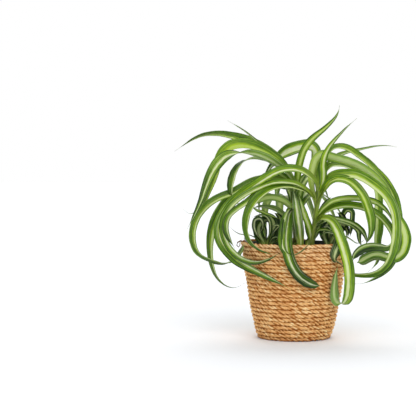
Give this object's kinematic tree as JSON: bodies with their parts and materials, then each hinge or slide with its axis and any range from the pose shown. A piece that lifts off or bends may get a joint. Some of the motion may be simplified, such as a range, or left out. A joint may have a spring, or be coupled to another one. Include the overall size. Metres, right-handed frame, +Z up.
{
  "type": "potted spider plant",
  "caption": "Curly variegated spider plant in a black nursery pot with soil, standing in a lined, tapered basket of twisted seagrass cord.",
  "frame": {"origin": "centre of the basket's flat base, on the surface it stands on", "axes": "+Z up, -Y towards the front, where the leaves hang over the rim, +X to the viewer's right"},
  "size_m": [0.3107, 0.2216, 0.3004],
  "materials": {
    "seagrass": "matte twisted seagrass cord in stacked rows",
    "film": "thin crinkled plastic film",
    "pot_plastic": "black plastic with a soft sheen",
    "soil": "rough, matte potting soil",
    "leaf_green": "satin leaf with a cream stripe down the middle",
    "leaf_bright": "satin leaf with a cream stripe down the middle",
    "leaf_dark": "satin leaf with a pale stripe down the middle"
  },
  "bodies": {
    "root": {"basket": "seagrass", "liner": "film", "nursery_pot": "pot_plastic", "soil": "soil", "rosette_middle": "leaf_green", "rosette_right": "leaf_bright", "rosette_front": "leaf_green", "rosette_left": "leaf_dark", "rosette_side": "leaf_dark", "rosette_back": "leaf_green"}
  },
  "joints": []
}
